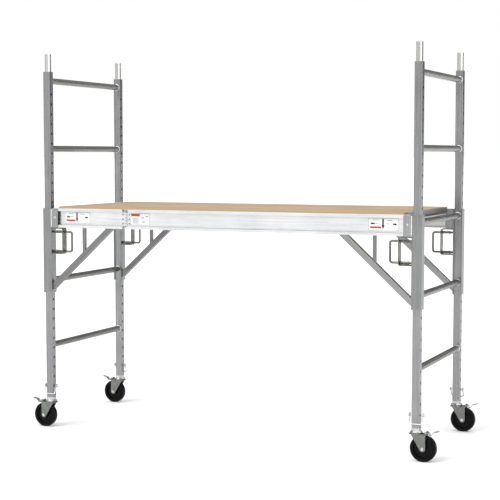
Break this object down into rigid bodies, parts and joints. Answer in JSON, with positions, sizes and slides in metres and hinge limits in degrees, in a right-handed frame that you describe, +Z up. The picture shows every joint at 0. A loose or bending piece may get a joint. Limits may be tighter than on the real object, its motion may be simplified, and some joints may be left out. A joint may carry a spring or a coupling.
{
  "type": "baker scaffold",
  "caption": "Rolling aluminium baker scaffold: two ladder end frames on casters and a folding braced platform with a plywood deck that latches at any rung height.",
  "frame": {"origin": "on the floor, under the middle of the whole scaffold", "axes": "+X along the platform to the right end frame, +Y to the rear side, +Z up"},
  "size_m": [2.2082, 0.803, 1.9515],
  "materials": {
    "post_aluminium": "mill finish extrusion",
    "rung_aluminium": "mill finish ribbed extrusion",
    "sleeve_aluminium": "mill finish extrusion",
    "rail_aluminium": "bright mill finish extrusion",
    "bracket_aluminium": "mill finish plate",
    "brace_aluminium": "mill finish square tube",
    "coupling_aluminium": "mill finish tube",
    "handle_steel": "dull zinc-plated steel",
    "spring_steel": "oiled spring steel",
    "zinc_steel": "bright zinc plate",
    "fork_steel": "zinc-plated pressed steel",
    "deck_wood": "sanded plywood",
    "deck_aluminium": "mill finish extrusion",
    "wheel_black": "moulded phenolic",
    "tyre_black": "hard rubber"
  },
  "bodies": {
    "end_frames": {"front_left_post": "post_aluminium", "rear_left_post": "post_aluminium", "front_right_post": "post_aluminium", "rear_right_post": "post_aluminium", "left_rungs": "rung_aluminium", "right_rungs": "rung_aluminium", "coupling_pins": "coupling_aluminium", "caster_stems": "zinc_steel", "caster_lock_pins": "zinc_steel"},
    "platform": {"front_left_sleeve": "sleeve_aluminium", "rear_left_sleeve": "sleeve_aluminium", "front_right_sleeve": "sleeve_aluminium", "rear_right_sleeve": "sleeve_aluminium", "front_rail_stub": "rail_aluminium", "front_rail": "rail_aluminium", "rear_rail_stub": "rail_aluminium", "rear_rail": "rail_aluminium", "rail_hinges": "bracket_aluminium", "hinge_pins": "zinc_steel", "rail_brackets": "bracket_aluminium", "bracket_bolts": "zinc_steel", "front_braces": "brace_aluminium", "rear_braces": "brace_aluminium", "brace_struts": "brace_aluminium", "latch_straps": "handle_steel", "latch_springs": "spring_steel"},
    "deck": {"deck_board": "deck_wood", "deck_end_channels": "deck_aluminium", "deck_joists": "deck_aluminium", "deck_screws": "zinc_steel"},
    "front_left_latch": {"front_left_latch": "handle_steel"},
    "front_left_caster": {"front_left_fork": "fork_steel", "front_left_axle": "zinc_steel"},
    "front_left_wheel": {"front_left_wheel": "wheel_black", "front_left_tyre": "tyre_black"},
    "front_left_brake": {"front_left_brake_pedal": "zinc_steel"},
    "front_left_bail": {"front_left_pin_bail": "zinc_steel"},
    "rear_left_latch": {"rear_left_latch": "handle_steel"},
    "rear_left_caster": {"rear_left_fork": "fork_steel", "rear_left_axle": "zinc_steel"},
    "rear_left_wheel": {"rear_left_wheel": "wheel_black", "rear_left_tyre": "tyre_black"},
    "rear_left_brake": {"rear_left_brake_pedal": "zinc_steel"},
    "rear_left_bail": {"rear_left_pin_bail": "zinc_steel"},
    "front_right_latch": {"front_right_latch": "handle_steel"},
    "front_right_caster": {"front_right_fork": "fork_steel", "front_right_axle": "zinc_steel"},
    "front_right_wheel": {"front_right_wheel": "wheel_black", "front_right_tyre": "tyre_black"},
    "front_right_brake": {"front_right_brake_pedal": "zinc_steel"},
    "front_right_bail": {"front_right_pin_bail": "zinc_steel"},
    "rear_right_latch": {"rear_right_latch": "handle_steel"},
    "rear_right_caster": {"rear_right_fork": "fork_steel", "rear_right_axle": "zinc_steel"},
    "rear_right_wheel": {"rear_right_wheel": "wheel_black", "rear_right_tyre": "tyre_black"},
    "rear_right_brake": {"rear_right_brake_pedal": "zinc_steel"},
    "rear_right_bail": {"rear_right_pin_bail": "zinc_steel"}
  },
  "joints": [
    {"name": "platform_height", "type": "slide", "parent": "end_frames", "child": "platform", "axis": [0, 0, 1], "range_m": [-0.4064, 0.6096]},
    {"name": "deck_lift_off", "type": "slide", "parent": "platform", "child": "deck", "axis": [0, 0, 1], "range_m": [0, 0.85]},
    {"name": "front_left_latch_slide", "type": "slide", "parent": "platform", "child": "front_left_latch", "axis": [1, 0, 0], "range_m": [-0.012, 0], "stiffness_N_per_m": 300, "springref_m": -0.012},
    {"name": "front_left_swivel", "type": "hinge", "parent": "end_frames", "child": "front_left_caster", "pos_m": [-0.99465, -0.3715, 0.139], "axis": [0, 0, 1], "continuous": true},
    {"name": "front_left_roll", "type": "hinge", "parent": "front_left_caster", "child": "front_left_wheel", "pos_m": [-1.02965, -0.3715, 0.0635], "axis": [0, 1, 0], "continuous": true},
    {"name": "front_left_brake", "type": "hinge", "parent": "front_left_caster", "child": "front_left_brake", "pos_m": [-1.04465, -0.3715, 0.1375], "axis": [0, -1, 0], "range_deg": [0, 12]},
    {"name": "front_left_pin_bail_swing", "type": "hinge", "parent": "end_frames", "child": "front_left_bail", "pos_m": [-0.99465, -0.3715, 0.2187], "axis": [-1, 0, 0], "range_deg": [0, 120]},
    {"name": "rear_left_latch_slide", "type": "slide", "parent": "platform", "child": "rear_left_latch", "axis": [1, 0, 0], "range_m": [-0.012, 0], "stiffness_N_per_m": 300, "springref_m": -0.012},
    {"name": "rear_left_swivel", "type": "hinge", "parent": "end_frames", "child": "rear_left_caster", "pos_m": [-0.99465, 0.3715, 0.139], "axis": [0, 0, 1], "continuous": true},
    {"name": "rear_left_roll", "type": "hinge", "parent": "rear_left_caster", "child": "rear_left_wheel", "pos_m": [-1.02965, 0.3715, 0.0635], "axis": [0, 1, 0], "continuous": true},
    {"name": "rear_left_brake", "type": "hinge", "parent": "rear_left_caster", "child": "rear_left_brake", "pos_m": [-1.04465, 0.3715, 0.1375], "axis": [0, -1, 0], "range_deg": [0, 12]},
    {"name": "rear_left_pin_bail_swing", "type": "hinge", "parent": "end_frames", "child": "rear_left_bail", "pos_m": [-0.99465, 0.3715, 0.2187], "axis": [1, 0, 0], "range_deg": [0, 120]},
    {"name": "front_right_latch_slide", "type": "slide", "parent": "platform", "child": "front_right_latch", "axis": [-1, 0, 0], "range_m": [-0.012, 0], "stiffness_N_per_m": 300, "springref_m": -0.012},
    {"name": "front_right_swivel", "type": "hinge", "parent": "end_frames", "child": "front_right_caster", "pos_m": [0.99465, -0.3715, 0.139], "axis": [0, 0, 1], "continuous": true},
    {"name": "front_right_roll", "type": "hinge", "parent": "front_right_caster", "child": "front_right_wheel", "pos_m": [1.02965, -0.3715, 0.0635], "axis": [0, 1, 0], "continuous": true},
    {"name": "front_right_brake", "type": "hinge", "parent": "front_right_caster", "child": "front_right_brake", "pos_m": [1.04465, -0.3715, 0.1375], "axis": [0, 1, 0], "range_deg": [0, 12]},
    {"name": "front_right_pin_bail_swing", "type": "hinge", "parent": "end_frames", "child": "front_right_bail", "pos_m": [0.99465, -0.3715, 0.2187], "axis": [-1, 0, 0], "range_deg": [0, 120]},
    {"name": "rear_right_latch_slide", "type": "slide", "parent": "platform", "child": "rear_right_latch", "axis": [-1, 0, 0], "range_m": [-0.012, 0], "stiffness_N_per_m": 300, "springref_m": -0.012},
    {"name": "rear_right_swivel", "type": "hinge", "parent": "end_frames", "child": "rear_right_caster", "pos_m": [0.99465, 0.3715, 0.139], "axis": [0, 0, 1], "continuous": true},
    {"name": "rear_right_roll", "type": "hinge", "parent": "rear_right_caster", "child": "rear_right_wheel", "pos_m": [1.02965, 0.3715, 0.0635], "axis": [0, 1, 0], "continuous": true},
    {"name": "rear_right_brake", "type": "hinge", "parent": "rear_right_caster", "child": "rear_right_brake", "pos_m": [1.04465, 0.3715, 0.1375], "axis": [0, 1, 0], "range_deg": [0, 12]},
    {"name": "rear_right_pin_bail_swing", "type": "hinge", "parent": "end_frames", "child": "rear_right_bail", "pos_m": [0.99465, 0.3715, 0.2187], "axis": [1, 0, 0], "range_deg": [0, 120]}
  ]
}
